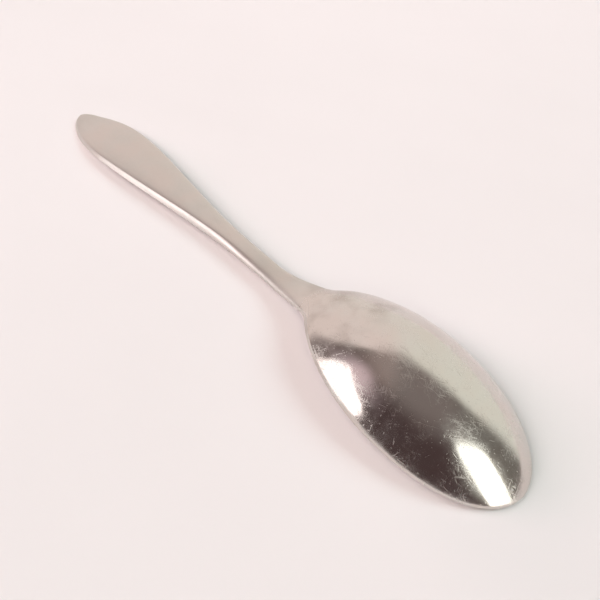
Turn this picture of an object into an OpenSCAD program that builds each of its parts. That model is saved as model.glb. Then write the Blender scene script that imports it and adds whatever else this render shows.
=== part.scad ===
// A plain spoon, pressed from one blank of stainless steel.
// It lies as it does when set down on its face: the hollow of the bowl is
// underneath, and the spoon stands on the tip of the bowl and on the handle near its end.
// X runs from the end of the handle to the tip of the bowl, and Z is up.
// The origin is on the table, under the middle of the spoon's length.

/* [Overall] */
// Length from the end of the handle to the rim at the bowl's tip
length = 180; // [150:1:220]

/* [Bowl] */
// Length of the bowl, from the neck to its tip
bowl_length = 66; // [56:1:74]
// Width of the bowl's rim at its widest
bowl_width = 34.5; // [30:0.5:42]
// Distance of the widest part from the tip
bowl_widest = 31; // [26:0.5:34]
// Rise of the bowl's back above its rim
bowl_depth = 10.9; // [8:0.1:13]
// Distance of the highest part of the back from the tip
bowl_peak = 36; // [32:0.5:40]

/* [Handle] */
// Widest part of the handle
handle_width = 17.4; // [14:0.5:22]
// Distance of the widest part of the handle from its end
handle_round = 25; // [20:0.5:30]
// Rise of the middle of the handle above its two edges
handle_crown = 1; // [0.6:0.05:1.4]
// Place where the handle gives way to the neck, from the end
handle_length = 88; // [80:1:92]

/* [Neck] */
// Narrowest width, where the handle meets the bowl's shoulders
neck_width = 5.6; // [5:0.1:8]
// Distance of the narrowest width from the end of the handle
neck_place = 97; // [94:1:102]

/* [Stance] */
// Height of the bowl's rim at its heel
heel_height = 8; // [6:0.1:10]
// Height of the handle's edges at the top of its low arch
handle_height = 3.5; // [2:0.1:5]
// Distance of the arch's top from the end of the handle
arch_place = 50; // [40:1:60]

/* [Thickness] */
// Thickness of the bowl
bowl_sheet = 1.3; // [1:0.1:1.6]
// Thickness of the neck
neck_sheet = 2.6; // [2:0.1:3]
// Thickness of the end of the handle
end_sheet = 1.8; // [1.4:0.1:2.2]

/* [Hidden] */
steel = [0.74, 0.71, 0.68];

// How many strips there are from the centre line to an edge
strips = 10;
// How many rings each part has
bowl_rings = 40;
neck_rings = 12;
handle_rings = 30;

// Roundness of the bowl's outline towards its heel and its tip: 2 and 2 is an ellipse
heel_curve = [2.01, 1.67];
tip_curve = [2.14, 1.92];
// Roundness of the bowl's cross-section: 1 is a parabola, 0.5 an ellipse
wall_curve = 0.71;
// How far the walls lean in where they meet the rim: 0 makes them upright there
wall_lean = 0.12;
// Roundness of the handle's end: 2 is an ellipse
end_curve = 1.93;
// Evenness of the handle's taper, and how fast the neck opens into the bowl
taper_curve = 0.84;
flare = 0.37;
flare_power = 1.5;
// Radius-like size of the fillet between neck and bowl
fillet = 1.5;
// Flatness of the handle's crown, which rolls down at its edges
crown_curve = 3.5;
// Height of the middle of the edges where the handle touches the table, at the neck, and at
// the bowl's tip, where the rim touches the table
end_height = 0.212;
neck_height = 3.1;
tip_height = 0.214;
// Steepness of the arch towards the handle's end and towards the neck
arch_curve = [3.2, 2];
// Where the edges touch the table, and how softly the handle's end curls up beyond there
end_touch = 5;
end_curl = 3;
// Shape of the rim's fall from the heel to the tip
rim_curve = 1.96;
// The stretch over which the neck climbs to the heel
climb_start = 98.5;
climb_end = 122;
// How far in front of the bowl its back begins to swell
swell_lead = 4;
// Width of the rounding of an edge as a share of the thickness, on the handle and on the bowl
handle_rounding = 1.1;
bowl_rounding = 0.36;

bowl_start = length - bowl_length;
widest = length - bowl_widest;
peak = length - bowl_peak;

// Steps used to find slopes
dx = 0.02;
ds = 0.003;

// 0 below zero and 1 above one
function unit(t) = min(1, max(0, t));
// A smooth step from 0 to 1
function ease(t) = pow(unit(t), 2) * (3 - 2 * unit(t));
// Where x lies between a and b, from 0 to 1
function part_way(x, a, b) = unit((x - a) / (b - a));
// A quarter of an oval, from 1 to 0 as t goes from 0 to 1
function oval(t, p, q) = pow(1 - pow(t, p), 1 / q);
// The larger of two widths, with a fillet of size k where they meet
function larger(a, b, k) = (a + b + sqrt(pow(a - b, 2) + k * k)) / 2;

// Half of the bowl's width at x
function bowl_half(x) =
    bowl_width / 2 * (x < widest
        ? oval(part_way(x, widest, bowl_start), heel_curve[0], heel_curve[1])
        : oval(part_way(x, widest, length), tip_curve[0], tip_curve[1]));

// Half of the handle's width at x, up to the neck
function taper_half(x) =
    let (t = part_way(x, handle_round, neck_place))
    neck_width / 2 + (handle_width - neck_width) / 4 * (1 + cos(180 * pow(t, taper_curve)));

// Half of the stem's width at x: the round end, the taper, and the neck's flare
function stem_half(x) =
    x < handle_round
        ? handle_width / 2 * oval(part_way(x, handle_round, 0), end_curve, end_curve)
        : taper_half(x) + flare * length * pow(max(0, x - neck_place) / length, flare_power);

// Half of the spoon's width at x
function half(x) =
    x > widest
        ? bowl_half(x)
        : larger(bowl_half(x), stem_half(x), fillet * ease(part_way(x, neck_place, bowl_start)));

// Rounded distance of x from the place where the handle touches the table
function from_touch(x) = norm([x - end_touch, end_curl]) - end_curl;

// Height of the handle's edges at x: a low arch, with the end curled up
function handle_edge(x) =
    handle_height - (x < arch_place
        ? (handle_height - end_height)
            * pow(1 - unit(from_touch(x) / from_touch(arch_place)), arch_curve[0])
        : (handle_height - neck_height) * pow(part_way(x, arch_place, neck_place), arch_curve[1]));

// Height of the bowl's rim at x
function rim_edge(x) =
    heel_height - (heel_height - tip_height) * pow(part_way(x, bowl_start, length), rim_curve);

// Height of the spoon's edge at x
function edge(x) =
    let (t = ease(part_way(x, climb_start, climb_end)))
    handle_edge(x) * (1 - t) + rim_edge(x) * t;

// A round rise from 0 at t = 1 to 1 at t = 0, whose walls lean in at the rim
function dome(t) =
    (pow(1 + wall_lean - t, wall_curve) - pow(wall_lean, wall_curve))
    / (pow(1 + wall_lean, wall_curve) - pow(wall_lean, wall_curve));

// Rise of the bowl's back along its middle, from 0 to 1
function swell(x) =
    x < peak
        ? ease(part_way(x, bowl_start - swell_lead, peak))
        : dome(pow(part_way(x, peak, length), tip_curve[0]));

// Rise of the handle's crown at x, which rolls down at the handle's end and fades out in the bowl
function crown(x) =
    handle_crown
    * (1 - pow(part_way(x, handle_width / 2, 0), crown_curve))
    * (1 - ease(part_way(x, bowl_start, peak)));

// Thickness of the metal at x
function sheet(x) =
    x < neck_place
        ? end_sheet + (neck_sheet - end_sheet) * ease(x / neck_place)
        : neck_sheet + (bowl_sheet - neck_sheet) * ease(part_way(x, neck_place, widest));

// Width of the rounding of the edge at x
function rounding(x) =
    let (t = ease(part_way(x, climb_start, widest)))
    sheet(x) * (handle_rounding + (bowl_rounding - handle_rounding) * t);

// Height of the metal's middle surface at x, s of the way from centre line to edge
function middle_z(x, s) =
    edge(x)
    + crown(x) * (1 - pow(abs(s), crown_curve))
    + bowl_depth * swell(x) * dome(s * s);

function middle(x, s) = [x, s * half(x), middle_z(x, s)];

// Direction square to the middle surface
function square_to(x, s) =
    let (along = middle(min(length - dx / 40, x + dx), s) - middle(max(dx / 40, x - dx), s))
    let (across = middle(x, min(1, s + ds)) - middle(x, max(-1, s - ds)))
    let (n = cross(along, across))
    n / norm(n);

// Half of the thickness at x and s, which rounds off to nothing at the edge
function half_sheet(x, s) =
    let (slope = (half(x + dx / 40) - half(x - dx / 40)) / (dx / 20))
    let (inset = half(x) * (1 - abs(s)) / sqrt(1 + slope * slope))
    sheet(x) / 2 * sqrt(1 - pow(1 - unit(inset / rounding(x)), 2));

// A point on the back (side = 1) or on the face (side = -1), with x from the handle's end
function skin(x, s, side) = middle(x, s) + side * half_sheet(x, s) * square_to(x, s);

// The metal may bulge a little past the ends of its middle surface
sides = [-1, 1];
near_end = min([0, for (d = [0.05 : 0.05 : 2], side = sides) skin(d, 0, side).x]);
far_end = max([length, for (d = [0.05 : 0.05 : 2], side = sides) skin(length - d, 0, side).x]);
// Moves the middle of the whole length to the origin
to_origin = [-(near_end + far_end) / 2, 0, 0];

// Shares of the way from edge to edge, closer together near the edges
across_steps = [for (j = [0 : 2 * strips]) sin(90 * (j / strips - 1))];

// The closed ring of points round the metal at x: over the back, then under the face
function ring(x) = [
    for (j = [0 : 2 * strips]) skin(x, across_steps[j], 1) + to_origin,
    for (j = [2 * strips - 1 : -1 : 1]) skin(x, across_steps[j], -1) + to_origin
];

ring_size = 4 * strips;

// Two triangles for each quad between ring i and ring i + 1
function wall_faces(i) = [
    for (k = [0 : ring_size - 1])
        let (a = i * ring_size + k, b = i * ring_size + (k + 1) % ring_size)
        each [[a, b, b + ring_size], [a, b + ring_size, a + ring_size]]
];

// A flat-runged end over ring i, laid between the back's points and the face's
function end_faces(i, first) = [
    for (j = [0 : 2 * strips - 1])
        let (a = i * ring_size + j, b = a + 1)
        let (c = i * ring_size + (ring_size - j) % ring_size)
        let (d = i * ring_size + ring_size - j - 1)
        each [
            if (j > 0) (first ? [a, c, b] : [a, b, c]),
            if (j < 2 * strips - 1) (first ? [b, c, d] : [b, d, c])
        ]
];

// A fan from ring i to the single point p
function fan_faces(i, p, first) = [
    for (k = [0 : ring_size - 1])
        let (a = i * ring_size + k, b = i * ring_size + (k + 1) % ring_size)
        first ? [p, b, a] : [p, a, b]
];

// The metal between the first and last of the stations xs.
// With tip = 0 or tip = length, that end closes in a point at x = tip.
module metal(xs, tip = -1) {
    last = len(xs) - 1;
    rings = [for (x = xs) each ring(x)];
    point = [tip, 0, edge(tip)] + to_origin;
    start = tip == 0 ? fan_faces(0, len(rings), true) : end_faces(0, true);
    finish = tip == length ? fan_faces(last, len(rings), false) : end_faces(last, false);
    polyhedron(
        points = tip < 0 ? rings : [each rings, point],
        faces = [
            each start,
            for (i = [0 : last - 1]) each wall_faces(i),
            each finish
        ]);
}

// The bowl, with stations closer together towards the tip
module bowl() {
    span = length - bowl_start;
    color(steel)
        metal([for (i = [0 : bowl_rings - 1]) bowl_start + span * sin(90 * i / bowl_rings)], length);
}

// The neck, between the handle and the bowl
module neck() {
    span = bowl_start - handle_length;
    color(steel)
        metal([for (i = [0 : neck_rings]) handle_length + span * i / neck_rings]);
}

// The handle, with stations closer together towards its round end
module handle() {
    color(steel)
        metal([for (i = [1 : handle_rings]) handle_length * (1 - cos(90 * i / handle_rings))], 0);
}

bowl();
neck();
handle();
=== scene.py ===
"""A plain pressed-steel spoon lying face down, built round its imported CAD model.

The spoon is one continuous piece of metal here. It stands for the three CAD nodes bowl, neck
and handle, and it follows the same formulas, with many more rings. Only the edge of its back
differs, by a third of a millimetre at most: it is a flat bevel along the handle.
All lengths are metres. In the shape functions x is measured from the end of the handle.
"""
import math

import bpy
import numpy as np
from mathutils import Matrix, Vector


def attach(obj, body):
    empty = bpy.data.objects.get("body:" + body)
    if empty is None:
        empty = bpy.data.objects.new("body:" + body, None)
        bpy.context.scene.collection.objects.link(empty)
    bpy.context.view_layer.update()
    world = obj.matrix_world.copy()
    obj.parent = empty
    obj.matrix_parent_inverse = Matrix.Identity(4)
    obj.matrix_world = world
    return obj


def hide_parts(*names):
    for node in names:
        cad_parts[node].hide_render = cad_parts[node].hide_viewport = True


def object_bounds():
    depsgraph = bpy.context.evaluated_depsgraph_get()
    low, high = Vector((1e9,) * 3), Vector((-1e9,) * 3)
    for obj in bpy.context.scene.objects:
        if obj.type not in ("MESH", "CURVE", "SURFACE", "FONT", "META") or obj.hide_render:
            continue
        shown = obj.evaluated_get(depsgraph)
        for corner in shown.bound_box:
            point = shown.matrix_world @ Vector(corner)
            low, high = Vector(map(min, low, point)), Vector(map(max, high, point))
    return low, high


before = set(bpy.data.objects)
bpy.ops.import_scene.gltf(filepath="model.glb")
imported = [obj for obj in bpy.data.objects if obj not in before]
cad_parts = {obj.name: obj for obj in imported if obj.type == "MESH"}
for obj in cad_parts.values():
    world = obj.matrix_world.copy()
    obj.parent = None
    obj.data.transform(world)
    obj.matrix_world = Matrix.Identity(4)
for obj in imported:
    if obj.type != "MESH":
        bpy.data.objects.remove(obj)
cad_low, cad_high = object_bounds()

MM = 0.001

# ---------------------------------------------------------------- the spoon's dimensions

LENGTH = 180 * MM

BOWL_START = LENGTH - 66 * MM
BOWL_WIDTH = 34.5 * MM
WIDEST = LENGTH - 31 * MM
PEAK = LENGTH - 36 * MM
BOWL_DEPTH = 10.9 * MM

HANDLE_WIDTH = 17.4 * MM
HANDLE_ROUND = 25 * MM
HANDLE_CROWN = 1.0 * MM
NECK_WIDTH = 5.6 * MM
NECK_PLACE = 97 * MM

HEEL_HEIGHT = 8.0 * MM
TIP_HEIGHT = 0.214 * MM
HANDLE_HEIGHT = 3.5 * MM
ARCH_PLACE = 50 * MM
END_HEIGHT = 0.212 * MM
END_TOUCH = 5 * MM
END_CURL = 3 * MM
NECK_HEIGHT = 3.1 * MM
ARCH_CURVE = (3.2, 2.0)
CLIMB_START = 98.5 * MM
CLIMB_END = 122 * MM
SWELL_LEAD = 4 * MM

BOWL_SHEET = 1.3 * MM
NECK_SHEET = 2.6 * MM
END_SHEET = 1.8 * MM

HEEL_CURVE = (2.01, 1.67)
TIP_CURVE = (2.14, 1.92)
WALL_CURVE = 0.71
WALL_LEAN = 0.12
END_CURVE = 1.93
TAPER_CURVE = 0.84
FLARE = 0.37
FLARE_POWER = 1.5
FILLET = 1.5 * MM
CROWN_CURVE = 3.5
RIM_CURVE = 1.96

# Widths of the rounding of an edge as shares of the thickness
HANDLE_ROUNDING = 1.1
BOWL_ROUNDING = 0.36
BACK_ROUNDING = 0.5

# The bevel along the edge of the handle's back, which fades out from here to the neck
BEVEL_SLOPE = 0.88
BEVEL_BLEND = 0.16 * MM
BEVEL_FADE = 72 * MM

# The mesh: rings before and after a joining place, strips across, and steps for slopes
RINGS_HANDLE = 150
RINGS_BOWL = 220
RINGS_JOIN = 80 * MM
STRIPS = 96
STEP_X = 0.01 * MM
STEP_S = 0.002

# ---------------------------------------------------------------- the spoon's shape


def unit(t):
    return np.clip(t, 0, 1)


def ease(t):
    t = unit(t)
    return t * t * (3 - 2 * t)


def part_way(x, a, b):
    return unit((x - a) / (b - a))


def oval(t, p, q):
    return (1 - t**p) ** (1 / q)


def larger(a, b, k):
    return (a + b + np.sqrt((a - b) ** 2 + k * k)) / 2


def bowl_half(x):
    heel = oval(part_way(x, WIDEST, BOWL_START), *HEEL_CURVE)
    tip = oval(part_way(x, WIDEST, LENGTH), *TIP_CURVE)
    return BOWL_WIDTH / 2 * np.where(x < WIDEST, heel, tip)


def stem_half(x):
    end = HANDLE_WIDTH / 2 * oval(part_way(x, HANDLE_ROUND, 0), END_CURVE, END_CURVE)
    t = part_way(x, HANDLE_ROUND, NECK_PLACE)
    taper = NECK_WIDTH / 2 + (HANDLE_WIDTH - NECK_WIDTH) / 4 * (1 + np.cos(np.pi * t**TAPER_CURVE))
    opening = FLARE * LENGTH * (np.maximum(0, x - NECK_PLACE) / LENGTH) ** FLARE_POWER
    return np.where(x < HANDLE_ROUND, end, taper + opening)


def half_width(x):
    blend = FILLET * ease(part_way(x, NECK_PLACE, BOWL_START))
    return np.where(x > WIDEST, bowl_half(x), larger(bowl_half(x), stem_half(x), blend))


def from_touch(x):
    """How far x is from the handle's lowest place, rounded off so that the end curls up."""
    return np.sqrt((x - END_TOUCH) ** 2 + END_CURL**2) - END_CURL


def edge_height(x):
    outward = 1 - unit(from_touch(x) / from_touch(ARCH_PLACE))
    to_end = (HANDLE_HEIGHT - END_HEIGHT) * outward ** ARCH_CURVE[0]
    to_neck = (HANDLE_HEIGHT - NECK_HEIGHT) * part_way(x, ARCH_PLACE, NECK_PLACE) ** ARCH_CURVE[1]
    handle = HANDLE_HEIGHT - np.where(x < ARCH_PLACE, to_end, to_neck)
    rim = HEEL_HEIGHT - (HEEL_HEIGHT - TIP_HEIGHT) * part_way(x, BOWL_START, LENGTH) ** RIM_CURVE
    t = ease(part_way(x, CLIMB_START, CLIMB_END))
    return handle * (1 - t) + rim * t


def dome(t):
    """A round rise from 0 at t = 1 to 1 at t = 0, whose walls lean in at the rim."""
    lean = WALL_LEAN**WALL_CURVE
    return ((1 + WALL_LEAN - t) ** WALL_CURVE - lean) / ((1 + WALL_LEAN) ** WALL_CURVE - lean)


def swell(x):
    heel = ease(part_way(x, BOWL_START - SWELL_LEAD, PEAK))
    tip = dome(part_way(x, PEAK, LENGTH) ** TIP_CURVE[0])
    return np.where(x < PEAK, heel, tip)


def sheet(x):
    stem = END_SHEET + (NECK_SHEET - END_SHEET) * ease(x / NECK_PLACE)
    bowl = NECK_SHEET + (BOWL_SHEET - NECK_SHEET) * ease(part_way(x, NECK_PLACE, WIDEST))
    return np.where(x < NECK_PLACE, stem, bowl)


def rounding(x):
    """Width of the rounding of the edge at x."""
    share = HANDLE_ROUNDING + (BOWL_ROUNDING - HANDLE_ROUNDING) * ease(part_way(x, CLIMB_START, WIDEST))
    return share * sheet(x)


def bevel(x, inset):
    """Height of the handle's back above the middle surface, with a slope along its edge."""
    flat = sheet(x) / 2
    slope = BEVEL_SLOPE * inset
    return np.maximum(0, (slope + flat - np.sqrt((slope - flat) ** 2 + BEVEL_BLEND**2)) / 2)


def middle(x, s):
    """Points of the metal's middle surface, s of the way from the centre line to an edge."""
    crown = HANDLE_CROWN * (1 - ease(part_way(x, BOWL_START, PEAK)))
    crown = crown * (1 - part_way(x, HANDLE_WIDTH / 2, 0) ** CROWN_CURVE)
    z = edge_height(x) + crown * (1 - np.abs(s) ** CROWN_CURVE)
    z = z + BOWL_DEPTH * swell(x) * dome(s * s)
    return np.stack([x, s * half_width(x), z], -1)


def edge_slope(x):
    """Change of the half width along the spoon at x."""
    low_x = np.maximum(x - STEP_X, STEP_X / 40)
    high_x = np.minimum(x + STEP_X, LENGTH - STEP_X / 40)
    return (half_width(high_x) - half_width(low_x)) / (high_x - low_x)


def normals(x, s):
    """Unit normals of the middle surface, which point out of the back."""
    low_x = np.maximum(x - STEP_X, STEP_X / 40)
    high_x = np.minimum(x + STEP_X, LENGTH - STEP_X / 40)
    low_s = np.maximum(s - STEP_S, -1)
    high_s = np.minimum(s + STEP_S, 1)
    normal = np.cross(middle(high_x, s) - middle(low_x, s), middle(x, high_s) - middle(x, low_s))
    return normal / np.linalg.norm(normal, axis=-1, keepdims=True)


def rounded(x, inset, width):
    """Half of the thickness at a distance inset from an edge that is rounded over width."""
    return sheet(x) / 2 * np.sqrt(1 - (1 - unit(inset / width)) ** 2)


def skin(x, s, side):
    """Points on the back (side 1) or the face (side -1)."""
    inset = half_width(x) * (1 - np.abs(s)) / np.sqrt(1 + edge_slope(x) ** 2)
    if side > 0:
        half = rounded(x, inset, np.minimum(rounding(x), BACK_ROUNDING * sheet(x)))
        half = half + (bevel(x, inset) - half) * (1 - ease(part_way(x, BEVEL_FADE, NECK_PLACE)))
    else:
        half = rounded(x, inset, rounding(x))
    return middle(x, s) + side * half[..., None] * normals(x, s)


def stations():
    """Places of the rings along the spoon, closer together towards both ends."""
    to_join = np.linspace(0, np.pi / 2, RINGS_HANDLE + 1)[1:]
    from_join = np.linspace(0, np.pi / 2, RINGS_BOWL + 1)[1:-1]
    handle = RINGS_JOIN * (1 - np.cos(to_join))
    bowl = RINGS_JOIN + (LENGTH - RINGS_JOIN) * np.sin(from_join)
    return np.concatenate([handle, bowl])


def spoon_mesh():
    """One closed skin of quads: the back and the face share the points along the edge."""
    across = np.sin(np.linspace(-np.pi / 2, np.pi / 2, STRIPS + 1))
    x, s = np.meshgrid(stations(), across, indexing="ij")
    rings = np.concatenate([skin(x, s, 1), skin(x, s, -1)[:, -2:0:-1]], axis=1)
    count, size = rings.shape[:2]
    ends = [(place, 0, edge_height(np.array(place))) for place in (0.0, LENGTH)]
    points = np.concatenate([rings.reshape(-1, 3), np.array(ends)])
    points[:, 0] += (cad_low.x + cad_high.x - points[:, 0].min() - points[:, 0].max()) / 2

    k = np.arange(size)
    k_next = (k + 1) % size
    i = np.arange(count - 1)[:, None] * size
    quads = np.stack([i + k, i + k_next, i + k_next + size, i + k + size], -1).reshape(-1, 4)
    last = (count - 1) * size
    start = np.stack([k_next, k, np.full(size, count * size)], -1)
    finish = np.stack([k + last, k_next + last, np.full(size, count * size + 1)], -1)
    mesh = bpy.data.meshes.new("spoon")
    mesh.from_pydata(points.tolist(), [], quads.tolist() + start.tolist() + finish.tolist())
    mesh.polygons.foreach_set("use_smooth", [True] * len(mesh.polygons))
    mesh.update()
    return mesh


# ---------------------------------------------------------------- materials

STEEL_WARM = (0.665, 0.61, 0.57, 1)
STEEL_COOL = (0.665, 0.635, 0.60, 1)
STEEL_STAIN = (0.47, 0.42, 0.385, 1)
# The floor's brighter and darker ends, blended across it as painted falloff of light, then the colour of
# its flecks
FLOOR_PAINTED_BRIGHT = (0.868, 0.815, 0.832, 1)
FLOOR_PAINTED_SHADE = (0.818, 0.778, 0.792, 1)
FLOOR_FLECK = (0.75, 0.71, 0.72, 1)

# Each is an angle in degrees, lines to the millimetre and a length in millimetres
HAIRLINES = [(8, 3.2, 5.0), (-24, 3.6, 4.0), (38, 4.0, 3.4), (-62, 3.8, 3.0)]


class Nodes:
    """Short calls for building a node tree."""

    def __init__(self, tree):
        self.tree = tree
        tree.nodes.clear()

    def join(self, value, socket):
        if isinstance(value, bpy.types.NodeSocket):
            self.tree.links.new(value, socket)
        elif value is not None:
            socket.default_value = value

    def add(self, kind, *inputs, **settings):
        node = self.tree.nodes.new("ShaderNode" + kind)
        for name, value in settings.items():
            setattr(node, name, value)
        for socket, value in zip(node.inputs, inputs):
            self.join(value, socket)
        return node

    def maths(self, operation, *inputs):
        return self.add("Math", *inputs, operation=operation).outputs[0]

    def largest(self, first, *others):
        for other in others:
            first = self.maths("MAXIMUM", first, other)
        return first

    def millimetres(self):
        """The place on the object, as x, y and z in millimetres."""
        place = self.add("SeparateXYZ", self.add("TexCoord").outputs["Object"]).outputs
        return [self.maths("MULTIPLY", p, 1 / MM) for p in place]

    def rise(self, value, start, end, low=0.0, high=1.0):
        """A smooth change from low to high while value goes from start to end."""
        node = self.add("MapRange", value, start, end, low, high, interpolation_type="SMOOTHSTEP")
        return node.outputs[0]

    def mix(self, amount, a, b):
        node = self.add("Mix", data_type="RGBA")
        for index, value in ((0, amount), (6, a), (7, b)):
            self.join(value, node.inputs[index])
        return node.outputs[2]


def turned(n, x, y, degrees):
    """The coordinates x and y turned about the vertical."""
    c, d = math.cos(math.radians(degrees)), math.sin(math.radians(degrees))
    along = n.maths("ADD", n.maths("MULTIPLY", x, c), n.maths("MULTIPLY", y, d))
    across = n.maths("SUBTRACT", n.maths("MULTIPLY", y, c), n.maths("MULTIPLY", x, d))
    return along, across


def noise(n, x, y, z, scale, detail=2.0, roughness=0.5):
    """Fractal noise from 0 to 1, with scale features to the millimetre."""
    node = n.add("TexNoise", n.add("CombineXYZ", x, y, z).outputs[0], noise_dimensions="3D")
    node.inputs["Scale"].default_value = scale
    node.inputs["Detail"].default_value = detail
    node.inputs["Roughness"].default_value = roughness
    return node.outputs[0]


def scratches(n, x, y, cell, length, width, share, seed):
    """Separate curved hairlines, each in its own cell: 1 on a line and 0 between them."""
    x = n.maths("ADD", x, seed)
    cells = n.add("TexVoronoi", n.add("CombineXYZ", x, y, 0.0).outputs[0], voronoi_dimensions="2D")
    cells.inputs["Scale"].default_value = 1 / cell
    chance = n.add("SeparateColor", cells.outputs["Color"]).outputs
    centre = n.add("SeparateXYZ", cells.outputs["Position"]).outputs
    u, v = n.maths("SUBTRACT", x, centre[0]), n.maths("SUBTRACT", y, centre[1])
    angle = n.maths("MULTIPLY", n.maths("SUBTRACT", chance[0], 0.5), 2.6)
    cosine, sine = n.maths("COSINE", angle), n.maths("SINE", angle)
    along = n.maths("ADD", n.maths("MULTIPLY", u, cosine), n.maths("MULTIPLY", v, sine))
    across = n.maths("SUBTRACT", n.maths("MULTIPLY", v, cosine), n.maths("MULTIPLY", u, sine))
    bend = n.maths("MULTIPLY", n.maths("SUBTRACT", chance[1], 0.5), 0.5 / cell)
    across = n.maths("SUBTRACT", across, n.maths("MULTIPLY", n.maths("MULTIPLY", along, along), bend))
    line = n.rise(n.maths("ABSOLUTE", across), width, 0)
    line = n.maths("MULTIPLY", line, n.rise(n.maths("ABSOLUTE", along), length / 2, length / 4))
    return n.maths("MULTIPLY", line, n.rise(chance[2], 1 - share, 1 - share + 0.15))


def streaks(n, x, y, z, degrees, fineness, length):
    """Fine parallel hairlines that run at an angle and fade in and out."""
    along, across = turned(n, x, y, degrees)
    lines = noise(n, n.maths("MULTIPLY", along, 1 / length), n.maths("MULTIPLY", across, fineness), z, 1.0)
    return n.rise(lines, 0.52, 0.74)


def steel_material():
    """Worn mirror-polished steel: clear on the bowl, softer on the handle, scratched all over."""
    material = bpy.data.materials.new("steel")
    material.use_nodes = True
    n = Nodes(material.node_tree)
    x, y, z = n.millimetres()

    # The neck lies from x = -2 to x = 24 here, with the handle before it and the bowl after it
    in_neck = n.maths("MULTIPLY", n.rise(x, -8, 8), n.rise(x, 26, 14))
    in_heel = n.maths("MULTIPLY", n.rise(x, 12, 26), n.rise(x, 48, 38))

    smudges = noise(n, x, y, z, 0.11, 3.0, 0.55)
    mottle = noise(n, x, y, z, 0.75, 3.0, 0.6)
    clouds = noise(n, x, y, z, 0.16, 2.0, 0.45)
    waves = noise(n, x, y, z, 0.32, 2.0)
    patches = n.rise(noise(n, x, y, z, 0.17, 2.0), 0.38, 0.66)

    hairs = n.largest(*[streaks(n, x, y, z, *settings) for settings in HAIRLINES])
    hairs = n.maths("MULTIPLY", hairs, patches)
    long_lines = scratches(n, x, y, 9.0, 8.0, 0.08, 0.40, 3.0)
    short_lines = scratches(n, x, y, 2.6, 1.7, 0.045, 0.35, 41.0)
    nicks = scratches(n, x, y, 0.9, 0.40, 0.08, 0.42, 77.0)
    lines = n.largest(long_lines, short_lines, nicks)
    lines = n.maths("MULTIPLY", lines, n.rise(x, 16, 34, 0.3, 1.0))

    tint = n.mix(n.rise(smudges, 0.3, 0.7), STEEL_WARM, STEEL_COOL)
    stains = n.maths("MULTIPLY", in_heel, n.rise(clouds, 0.42, 0.74, 0.0, 0.7))
    tint = n.mix(stains, tint, STEEL_STAIN)
    tint = n.mix(n.maths("MULTIPLY", lines, 0.25), tint, STEEL_STAIN)

    rough = n.maths("ADD", n.rise(x, 12, 32, 0.38, 0.13), n.rise(smudges, 0.35, 0.7, -0.02, 0.05))
    rough = n.maths("ADD", rough, n.maths("MULTIPLY", in_neck, 0.10))
    rough = n.maths("ADD", rough, n.maths("MULTIPLY", hairs, n.rise(x, 24, 50, 0.06, 0.26)))
    rough = n.maths("ADD", rough, n.maths("MULTIPLY", lines, 0.22))
    rough = n.maths("ADD", rough, n.rise(mottle, 0.4, 0.75, 0.0, 0.05))

    height = n.maths("MULTIPLY", waves, n.rise(x, 24, 50, 0.010, 0.016))
    height = n.maths("ADD", height, n.maths("MULTIPLY", mottle, n.rise(x, 10, 40, 0.001, 0.0025)))
    height = n.maths("SUBTRACT", height, n.maths("MULTIPLY", lines, 0.008))
    height = n.maths("SUBTRACT", height, n.maths("MULTIPLY", hairs, n.rise(x, 10, 40, 0.001, 0.005)))
    bump = n.add("Bump")
    bump.inputs["Strength"].default_value = 1.0
    bump.inputs["Distance"].default_value = MM
    n.join(height, bump.inputs["Height"])

    shader = n.add("BsdfPrincipled")
    shader.inputs["Metallic"].default_value = 1
    n.join(tint, shader.inputs["Base Color"])
    n.join(rough, shader.inputs["Roughness"])
    n.join(bump.outputs[0], shader.inputs["Normal"])
    n.join(shader.outputs[0], n.add("OutputMaterial").inputs[0])
    return material


def floor_material():
    material = bpy.data.materials.new("floor")
    material.use_nodes = True
    n = Nodes(material.node_tree)
    x, y, z = n.millimetres()
    grain = n.maths("MULTIPLY", noise(n, x, y, z, 3.0), 0.4)
    tone = n.maths("ADD", noise(n, x, y, z, 0.012), grain)
    # Painted shade: the floor darkens from the handle's end towards the bowl's end, standing in for light
    # that falls off
    colour = n.mix(n.rise(x, -130, 150), FLOOR_PAINTED_BRIGHT, FLOOR_PAINTED_SHADE)
    colour = n.mix(n.rise(tone, 0.6, 0.95, 0.0, 0.12), colour, FLOOR_FLECK)
    shader = n.add("BsdfDiffuse", colour)
    n.join(shader.outputs[0], n.add("OutputMaterial").inputs[0])
    return material


# ---------------------------------------------------------------- the object

spoon = bpy.data.objects.new("spoon", spoon_mesh())
bpy.context.scene.collection.objects.link(spoon)
spoon.data.materials.append(steel_material())
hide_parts("bowl", "neck", "handle")
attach(spoon, "root")

# ---------------------------------------------------------------- stage, light and camera

FLOOR_RADIUS = 3.0
PANEL_DISTANCE = 1.2
TABLE_CENTRE = Vector(((cad_low.x + cad_high.x) / 2, (cad_low.y + cad_high.y) / 2, cad_low.z))
FOCUS = TABLE_CENTRE + Vector((50, 0, 10)) * MM
FLOOR_LIGHT = 3.47

# What the camera sees above the floor, and then the colours of the room that the steel mirrors
PALE = (0.94, 0.84, 0.81, 1)
BACKDROP_LEFT = (0.98, 0.86, 0.82, 1)
BACKDROP_RIGHT = (0.93, 0.93, 0.84, 1)
ROOM_LEFT = (0.19, 0.145, 0.14, 1)
ROOM_RIGHT = (0.20, 0.185, 0.165, 1)
ROOM_DARK = (0.085, 0.057, 0.057, 1)
CEILING_LEFT = (0.38, 0.31, 0.29, 1)
CEILING_RIGHT = (0.25, 0.215, 0.205, 1)
LEFT_SPILL = (0.80, 0.64, 0.68, 1)
RIGHT_SPILL = (0.60, 0.60, 0.54, 1)

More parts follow.
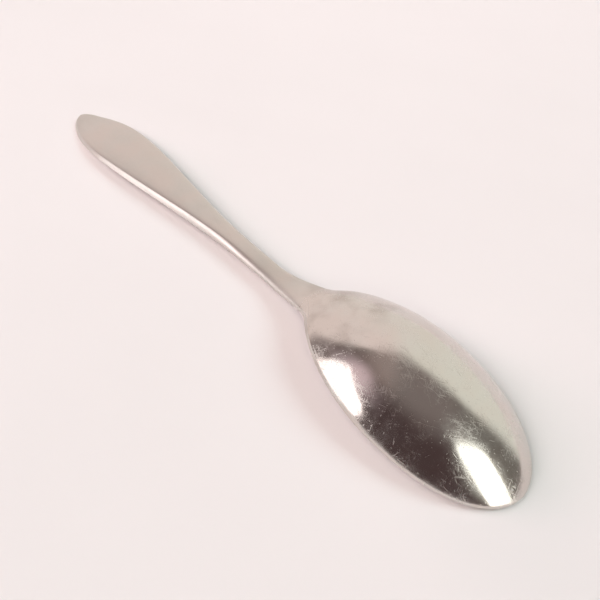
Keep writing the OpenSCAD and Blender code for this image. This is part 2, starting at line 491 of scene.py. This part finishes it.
# The corners of what the steel mirrors of each softbox, as azimuths and elevations
LEFT_SOFTBOX = [
    (-166, 0), (-169, 12), (-167, 19), (-150, 27),
    (-140, 33), (-133, 34), (-131, 24), (-132, 0),
]
RIGHT_SOFTBOX = [
    (78, 0), (74, 32), (77, 39), (86, 43),
    (96, 47), (106, 46), (109, 40), (104, 0),
]
SOFTBOX_GLOW = 3.0

# Each is a name, an azimuth, an elevation, a spread, a share of the floor's light and a colour
LIGHTS = [
    ("left_high_light", -135, 48, 46, 0.32, (0.98, 0.98, 0.93)),
    ("left_light", -122, 33, 32, 0.13, (1.05, 0.85, 0.92)),
    ("left_low_light", -122, 18, 22, 0.075, (1.0, 0.60, 0.66)),
    ("low_light", -80, 12, 25, 0.05, (1.0, 0.72, 0.70)),
    ("back_light", 42, 46, 34, 0.225, (0.80, 1.04, 1.06)),
    ("front_light", 152, 51, 50, 0.185, (1.03, 0.96, 0.84)),
    ("top_light", 0, 90, 60, 0.065, (1.0, 0.80, 0.55)),
]


def add_floor():
    bpy.ops.mesh.primitive_circle_add(vertices=96, radius=FLOOR_RADIUS, fill_type="NGON")
    floor = bpy.context.object
    floor.name = "floor"
    floor.data.materials.append(floor_material())


def direction(azimuth, elevation):
    """The unit vector towards a compass direction, in degrees clockwise from +Y."""
    a, e = math.radians(azimuth), math.radians(elevation)
    return Vector((math.sin(a) * math.cos(e), math.cos(a) * math.cos(e), math.sin(e)))


def add_panel(name, corners, colour):
    """A flat softbox front through the given directions, seen only in the steel."""
    points = [direction(*corner) for corner in corners]
    centre = sum(points, Vector()).normalized()
    points = [FOCUS + p * (PANEL_DISTANCE / p.dot(centre)) for p in points]
    mesh = bpy.data.meshes.new(name)
    mesh.from_pydata([tuple(p) for p in points], [], [list(range(len(points)))])
    mesh.update()
    material = bpy.data.materials.new(name)
    material.use_nodes = True
    n = Nodes(material.node_tree)
    glow = n.add("Emission", (*colour, 1), SOFTBOX_GLOW)
    n.join(glow.outputs[0], n.add("OutputMaterial").inputs[0])
    mesh.materials.append(material)
    panel = bpy.data.objects.new(name, mesh)
    bpy.context.scene.collection.objects.link(panel)
    panel.visible_camera = False
    panel.visible_diffuse = False


def add_light(name, azimuth, elevation, spread, share, colour):
    """A soft light on the table and the shadows, which the steel doesn't mirror.

    spread is the angle that it fills, and share is its part of the floor's light.
    """
    light = bpy.data.lights.new(name, "SUN")
    light.angle = math.radians(spread)
    light.energy = FLOOR_LIGHT * share / math.sin(math.radians(elevation))
    light.color = colour
    lamp = bpy.data.objects.new(name, light)
    bpy.context.scene.collection.objects.link(lamp)
    lamp.rotation_euler = direction(azimuth, elevation).to_track_quat("Z", "Y").to_euler()
    lamp.visible_camera = False
    lamp.visible_glossy = False


def spill(n, azimuth, elevation, centre, height, half_width, half_height):
    """The glow on the wall round a softbox: 1 in its middle and 0 at an oval round it."""
    u = n.maths("MULTIPLY", n.maths("SUBTRACT", azimuth, centre), 1 / half_width)
    v = n.maths("MULTIPLY", n.maths("SUBTRACT", elevation, height), 1 / half_height)
    far = n.maths("SQRT", n.maths("ADD", n.maths("MULTIPLY", u, u), n.maths("MULTIPLY", v, v)))
    return n.rise(far, 1.0, 0.2)


def add_world():
    """A pale backdrop behind the spoon and a dim room on the camera's side, as the steel shows."""
    world = bpy.data.worlds.new("room")
    bpy.context.scene.world = world
    world.use_nodes = True
    n = Nodes(world.node_tree)
    ray = n.add("SeparateXYZ", n.add("TexCoord").outputs["Generated"])
    x, y, z = ray.outputs
    azimuth = n.maths("MULTIPLY", n.maths("ARCTAN2", x, y), 180 / math.pi)
    elevation = n.maths("MULTIPLY", n.maths("ARCSINE", z), 180 / math.pi)

    # The backdrop: how far it reaches to the left and right, and its arched top
    lean = n.maths("MULTIPLY", n.maths("MAXIMUM", n.maths("SUBTRACT", elevation, 12.0), 0.0), 0.5)
    from_left = n.rise(n.maths("SUBTRACT", azimuth, lean), -124, -112)
    across = n.maths("MULTIPLY", from_left, n.rise(azimuth, 49, 37))
    offset = n.maths("ADD", azimuth, 15)
    to_left = n.maths("POWER", n.maths("MULTIPLY", n.maths("MINIMUM", offset, 0.0), -1 / 100), 2)
    to_right = n.maths("POWER", n.maths("MULTIPLY", n.maths("MAXIMUM", offset, 0.0), 1 / 57), 2)
    top = n.maths("SUBTRACT", 72, n.maths("MULTIPLY", to_left, 18))
    top = n.maths("SUBTRACT", top, n.maths("MULTIPLY", to_right, 28))
    pale = n.maths("MULTIPLY", across, n.rise(n.maths("SUBTRACT", elevation, top), 13, -11))
    backdrop = n.mix(n.rise(azimuth, -80, 25), BACKDROP_LEFT, BACKDROP_RIGHT)

    right = n.mix(n.rise(azimuth, 85, 125), ROOM_RIGHT, ROOM_DARK)
    sides = n.mix(n.rise(azimuth, -100, -112), right, ROOM_LEFT)
    sides = n.mix(n.rise(azimuth, -160, -172), sides, ROOM_DARK)
    ceiling = n.mix(n.rise(azimuth, -20, -60), CEILING_RIGHT, CEILING_LEFT)
    room = n.mix(n.rise(elevation, 38, 70), sides, ceiling)
    room = n.mix(spill(n, azimuth, elevation, -146, 37, 34, 22), room, LEFT_SPILL)
    room = n.mix(spill(n, azimuth, elevation, 92, 26, 33, 36), room, RIGHT_SPILL)

    mirrored = n.mix(pale, room, backdrop)
    seen = n.mix(n.add("LightPath").outputs["Is Camera Ray"], mirrored, PALE)
    out = n.add("OutputWorld")
    n.join(n.add("Background", seen, 1.0).outputs[0], out.inputs[0])
    world.cycles_visibility.diffuse = False


def add_camera():
    """The photograph's view: from above the bowl's side, close enough for strong perspective."""
    azimuth, elevation, roll, field = 136.9, 52.78, 3.81, 53.0
    distance = 164.1 * MM
    target = TABLE_CENTRE + Vector((17.35, 1.5, 0)) * MM
    camera = bpy.data.objects.new("camera", bpy.data.cameras.new("camera"))
    bpy.context.scene.collection.objects.link(camera)
    camera.data.angle = math.radians(field)
    camera.data.clip_start = 0.01
    back = direction(azimuth, elevation)
    turn = back.to_track_quat("Z", "Y").to_matrix().to_4x4()
    rolled = turn @ Matrix.Rotation(math.radians(roll), 4, "Z")
    camera.matrix_world = Matrix.Translation(target + back * distance) @ rolled
    bpy.context.scene.camera = camera


add_floor()
add_world()
add_panel("left_softbox", LEFT_SOFTBOX, (1.0, 0.93, 0.93))
add_panel("right_softbox", RIGHT_SOFTBOX, (0.97, 1.0, 0.93))
for light in LIGHTS:
    add_light(*light)
add_camera()
bpy.context.scene.view_settings.view_transform = "Standard"
